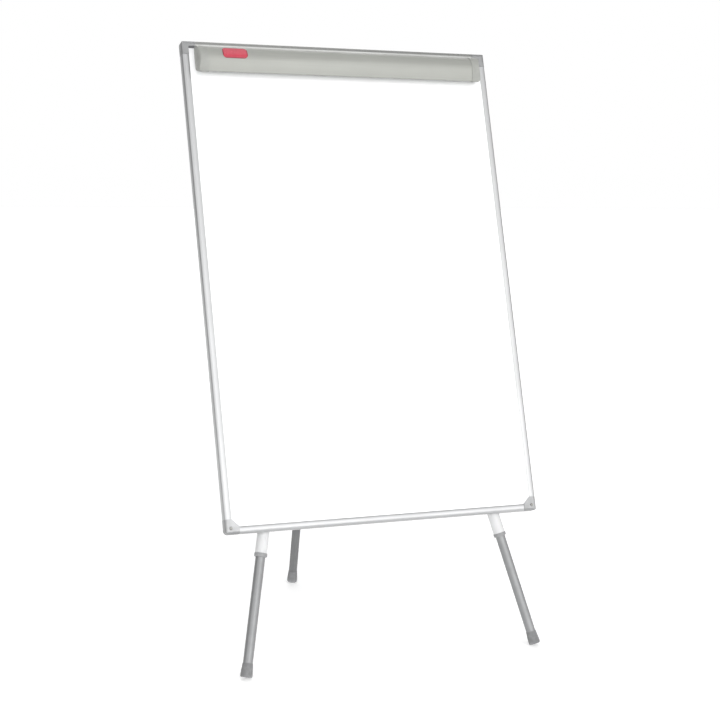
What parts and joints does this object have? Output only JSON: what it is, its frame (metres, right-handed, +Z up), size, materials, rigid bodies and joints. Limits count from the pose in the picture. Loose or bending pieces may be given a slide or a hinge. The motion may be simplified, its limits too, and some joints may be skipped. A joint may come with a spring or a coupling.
{
  "type": "flipchart easel",
  "caption": "Free-standing flipchart easel: a framed white writing board with a hinged paper clamp along its top edge, on folding telescopic tube legs.",
  "frame": {"origin": "on the floor, at the centre of the easel's footprint: in the left-right symmetry plane, halfway between the front-most point of the front feet and the rear-most point of the rear foot", "axes": "+Z up; the writing surface faces -Y and leans back towards +Y; +X is to the right of someone who looks at the board"},
  "size_m": [0.7, 0.6676, 1.2618],
  "materials": {
    "core": "matte",
    "white_enamel": "gloss",
    "back_foil": "satin",
    "frame_aluminium": "satin",
    "corner_plastic": "matte",
    "screw_steel": "satin",
    "rail_aluminium": "satin",
    "rod_steel": "satin",
    "clamp_aluminium": "satin",
    "cap_plastic": "matte",
    "grip_rubber": "matte",
    "badge_plastic": "gloss",
    "hook_plastic": "satin",
    "bracket_steel": "satin",
    "clip_plastic": "matte",
    "tube_white": "gloss",
    "tube_grey": "satin",
    "knuckle_plastic": "matte",
    "bush_plastic": "matte",
    "foot_rubber": "matte",
    "lock_plastic": "satin"
  },
  "bodies": {
    "board": {"core_panel": "core", "writing_sheet": "white_enamel", "back_sheet": "back_foil", "frame_left": "frame_aluminium", "frame_right": "frame_aluminium", "frame_top": "frame_aluminium", "frame_bottom": "frame_aluminium", "corner_bottom_left": "corner_plastic", "corner_bottom_right": "corner_plastic", "corner_top_left": "corner_plastic", "corner_top_right": "corner_plastic", "corner_screws": "screw_steel", "clamp_rail": "rail_aluminium", "clamp_hinge_blocks": "rail_aluminium", "clamp_rail_screws": "screw_steel", "clamp_rod": "rod_steel", "clamp_springs": "rod_steel", "head_bracket": "bracket_steel", "head_screws": "screw_steel", "pivot_bolt_left": "screw_steel", "pivot_bolt_right": "screw_steel", "pivot_bolt_rear": "screw_steel", "pivot_washers": "screw_steel", "pivot_nuts": "screw_steel", "leg_clip_left": "clip_plastic", "leg_clip_right": "clip_plastic", "leg_clip_screws": "screw_steel"},
    "clamp": {"clamp_bar": "clamp_aluminium", "clamp_cap_left": "cap_plastic", "clamp_cap_right": "cap_plastic", "clamp_grip_strip": "grip_rubber", "clamp_badge": "badge_plastic"},
    "hook_left": {"paper_hook_left": "hook_plastic"},
    "hook_right": {"paper_hook_right": "hook_plastic"},
    "left_leg": {"left_outer_tube": "tube_white", "left_knuckle": "knuckle_plastic", "left_end_bush": "bush_plastic"},
    "left_lock": {"left_lock_sleeve": "lock_plastic"},
    "left_lock_cone": {"left_lock_cone": "lock_plastic"},
    "left_inner": {"left_inner_tube": "tube_grey", "left_foot": "foot_rubber", "left_lock_spindle": "rod_steel"},
    "right_leg": {"right_outer_tube": "tube_white", "right_knuckle": "knuckle_plastic", "right_end_bush": "bush_plastic"},
    "right_lock": {"right_lock_sleeve": "lock_plastic"},
    "right_lock_cone": {"right_lock_cone": "lock_plastic"},
    "right_inner": {"right_inner_tube": "tube_grey", "right_foot": "foot_rubber", "right_lock_spindle": "rod_steel"},
    "rear_leg": {"rear_outer_tube": "tube_white", "rear_knuckle": "knuckle_plastic", "rear_end_bush": "bush_plastic"},
    "rear_lock": {"rear_lock_sleeve": "lock_plastic"},
    "rear_lock_cone": {"rear_lock_cone": "lock_plastic"},
    "rear_inner": {"rear_inner_tube": "tube_grey", "rear_foot": "foot_rubber", "rear_lock_spindle": "rod_steel"}
  },
  "joints": [
    {"name": "clamp_hinge", "type": "hinge", "parent": "board", "child": "clamp", "pos_m": [0, 0.03276, 1.24321], "axis": [-1, 0, 0], "range_deg": [0, 75], "stiffness_Nm_per_rad": 1.2, "springref_deg": -34.38, "deforming": ["clamp_springs"]},
    {"name": "hook_left_slide", "type": "slide", "parent": "board", "child": "hook_left", "axis": [1, 0, 0], "range_m": [-0.055, 0.12]},
    {"name": "hook_right_slide", "type": "slide", "parent": "board", "child": "hook_right", "axis": [1, 0, 0], "range_m": [-0.12, 0.055]},
    {"name": "left_leg_swing", "type": "hinge", "parent": "board", "child": "left_leg", "pos_m": [-0.04, 0.06784, 1.20553], "axis": [0, -0.9511, 0.309], "range_deg": [0, 12.7]},
    {"name": "left_leg_slide", "type": "slide", "parent": "left_leg", "child": "left_lock", "axis": [-0.2198, -0.3015, -0.9278], "range_m": [-0.21, 0.56]},
    {"name": "left_lock_twist", "type": "hinge", "parent": "left_lock", "child": "left_inner", "pos_m": [-0.04, 0.06784, 1.20553], "axis": [-0.2198, -0.3015, -0.9278], "range_deg": [0, 180]},
    {"name": "left_cone_travel", "type": "slide", "parent": "left_lock", "child": "left_lock_cone", "axis": [0.2198, 0.3015, 0.9278], "range_m": [0, 0.00075]},
    {"name": "right_leg_swing", "type": "hinge", "parent": "board", "child": "right_leg", "pos_m": [0.04, 0.06784, 1.20553], "axis": [0, 0.9511, -0.309], "range_deg": [0, 12.7]},
    {"name": "right_leg_slide", "type": "slide", "parent": "right_leg", "child": "right_lock", "axis": [0.2198, -0.3015, -0.9278], "range_m": [-0.21, 0.56]},
    {"name": "right_lock_twist", "type": "hinge", "parent": "right_lock", "child": "right_inner", "pos_m": [0.04, 0.06784, 1.20553], "axis": [0.2198, -0.3015, -0.9278], "range_deg": [0, 180]},
    {"name": "right_cone_travel", "type": "slide", "parent": "right_lock", "child": "right_lock_cone", "axis": [-0.2198, 0.3015, 0.9278], "range_m": [0, 0.00075]},
    {"name": "rear_leg_swing", "type": "hinge", "parent": "board", "child": "rear_leg", "pos_m": [0, 0.07093, 1.21504], "axis": [-1, 0, 0], "range_deg": [0, 29.7]},
    {"name": "rear_leg_slide", "type": "slide", "parent": "rear_leg", "child": "rear_lock", "axis": [0, 0.2028, -0.9792], "range_m": [-0.154, 0.61]},
    {"name": "rear_lock_twist", "type": "hinge", "parent": "rear_lock", "child": "rear_inner", "pos_m": [0, 0.07093, 1.21504], "axis": [0, 0.2028, -0.9792], "range_deg": [0, 180]},
    {"name": "rear_cone_travel", "type": "slide", "parent": "rear_lock", "child": "rear_lock_cone", "axis": [0, -0.2028, 0.9792], "range_m": [0, 0.00075]}
  ],
  "couplings": [
    {"joint": "left_cone_travel", "follows": "left_lock_twist", "m_per_rad": 0.00023849},
    {"joint": "right_cone_travel", "follows": "right_lock_twist", "m_per_rad": 0.00023849},
    {"joint": "rear_cone_travel", "follows": "rear_lock_twist", "m_per_rad": 0.00023849}
  ]
}
